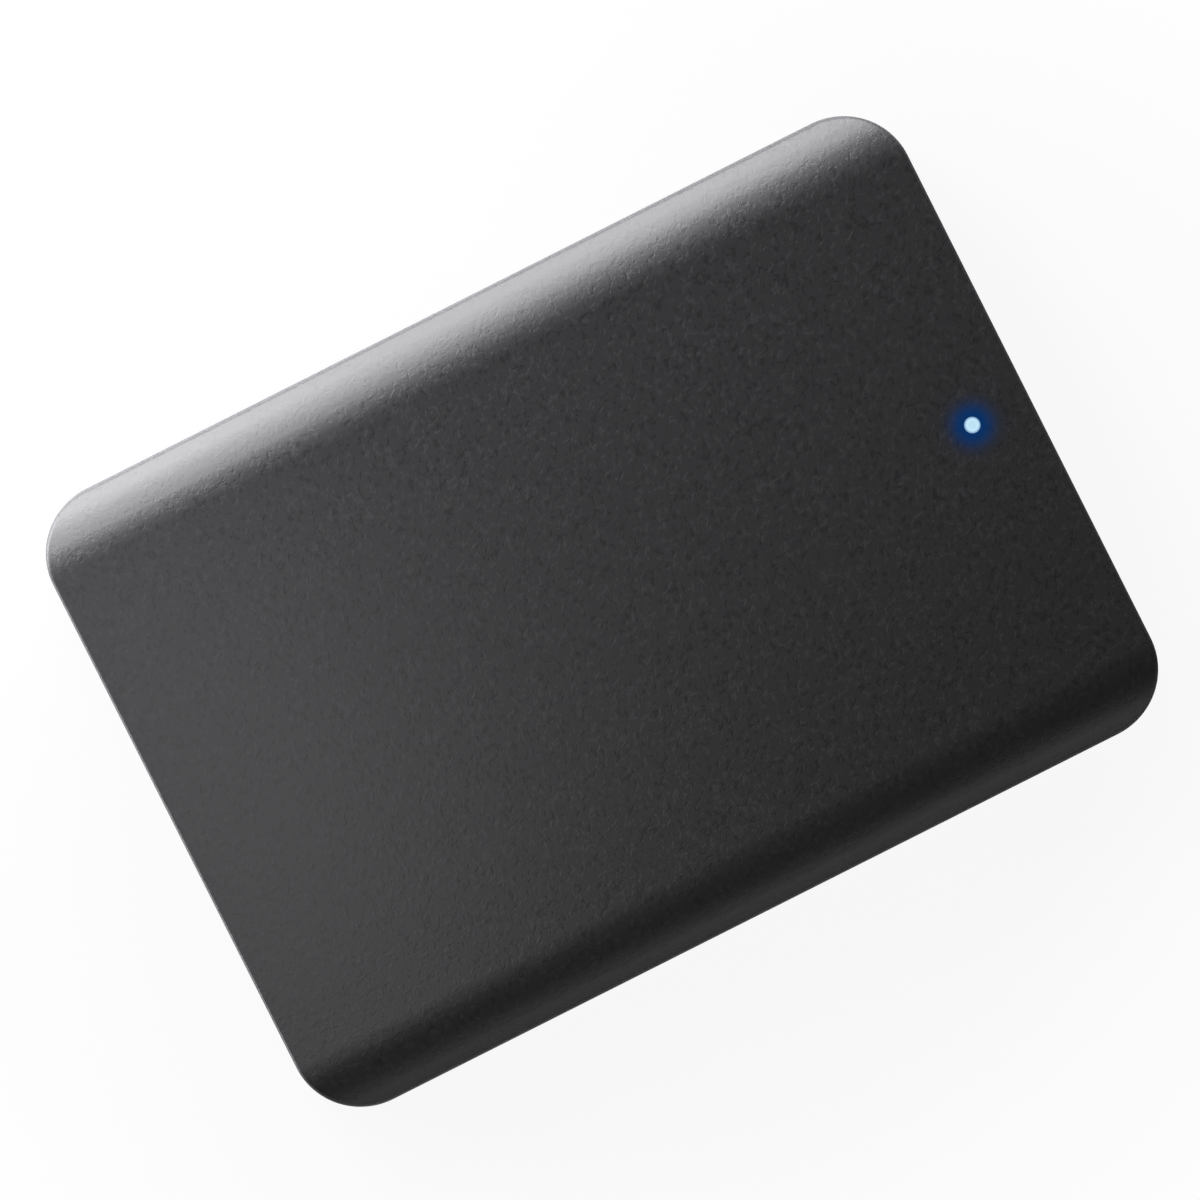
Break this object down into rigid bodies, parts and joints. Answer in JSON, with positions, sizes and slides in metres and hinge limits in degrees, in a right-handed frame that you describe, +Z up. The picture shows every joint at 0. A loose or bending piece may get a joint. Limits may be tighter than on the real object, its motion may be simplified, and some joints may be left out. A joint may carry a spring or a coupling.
{
  "type": "portable external hard drive",
  "caption": "Pocket-size external hard drive: charcoal snap-together case with rounded long edges, a lit status light and an end socket, around a sealed disk drive.",
  "frame": {"origin": "centre of the outline, on the surface that the feet rest on", "axes": "+X along the length to the socket and status light end, +Y across the width, +Z up"},
  "size_m": [0.109, 0.078, 0.014],
  "materials": {
    "case_plastic": "fine moulded grain, satin",
    "foot_rubber": "matt",
    "bumper_rubber": "matt",
    "lens_plastic": "clear, lit from below",
    "cast_aluminium": "die cast",
    "lid_steel": "satin sheet",
    "screw_steel": "zinc plated",
    "gasket_rubber": "matt",
    "filter_fibre": "white felt",
    "hub_aluminium": "turned",
    "shaft_steel": "ground",
    "magnet_plating": "nickel plated",
    "disk_coating": "polished",
    "sleeve_bronze": "turned",
    "core_steel": "laminated sheet",
    "coil_copper": "enamelled wire",
    "arm_aluminium": "machined",
    "suspension_steel": "thin sheet",
    "slider_ceramic": "lapped",
    "ramp_plastic": "natural",
    "flex_film": "amber film",
    "bracket_plastic": "moulded",
    "board_laminate": "solder mask",
    "chip_resin": "moulded",
    "can_steel": "sheet can",
    "ferrite": "sintered",
    "capacitor_ceramic": "matt",
    "socket_steel": "folded sheet",
    "socket_plastic": "moulded",
    "contact_gold": "plated",
    "lamp_resin": "clear"
  },
  "bodies": {
    "case": {"top_cover": "case_plastic", "bottom_cover": "case_plastic", "rubber_feet": "foot_rubber", "corner_bumpers": "bumper_rubber", "light_pipe": "lens_plastic", "base_casting": "cast_aluminium", "drive_lid": "lid_steel", "lid_gasket": "gasket_rubber", "lid_screws": "screw_steel", "recirculation_filter": "filter_fibre", "spindle_sleeve": "sleeve_bronze", "stator_core": "core_steel", "stator_coils": "coil_copper", "pivot_shaft": "shaft_steel", "lower_yoke": "screw_steel", "upper_yoke": "screw_steel", "lower_magnet": "magnet_plating", "upper_magnet": "magnet_plating", "crash_stops": "bumper_rubber", "load_ramp": "ramp_plastic", "flex_bracket": "bracket_plastic", "flex_cable": "flex_film", "head_connector": "bracket_plastic", "controller_board": "board_laminate", "board_screws": "screw_steel", "controller_chip": "chip_resin", "cache_chip": "chip_resin", "motor_driver_chip": "chip_resin", "firmware_chip": "chip_resin", "clock_crystal": "can_steel", "power_inductors": "ferrite", "chip_capacitors": "capacitor_ceramic", "socket_shell": "socket_steel", "socket_tongue": "socket_plastic", "socket_contacts": "contact_gold", "status_lamp": "lamp_resin"},
    "spindle": {"spindle_hub": "hub_aluminium", "spindle_shaft": "shaft_steel", "rotor_magnet": "magnet_plating", "platter": "disk_coating", "disk_clamp": "lid_steel", "clamp_screw": "screw_steel"},
    "head_arm": {"actuator_arm": "arm_aluminium", "voice_coil": "coil_copper", "pivot_sleeve": "shaft_steel", "pivot_bearings": "shaft_steel", "head_suspensions": "suspension_steel", "head_sliders": "slider_ceramic"}
  },
  "joints": [
    {"name": "spindle_spin", "type": "hinge", "parent": "case", "child": "spindle", "pos_m": [-0.017, 0, 0.0081], "axis": [0, 0, 1], "continuous": true},
    {"name": "arm_swing", "type": "hinge", "parent": "case", "child": "head_arm", "pos_m": [0.0244, -0.0071, 0.0081], "axis": [0, 0, 1], "range_deg": [0, 32], "deforming": ["flex_cable"]}
  ]
}
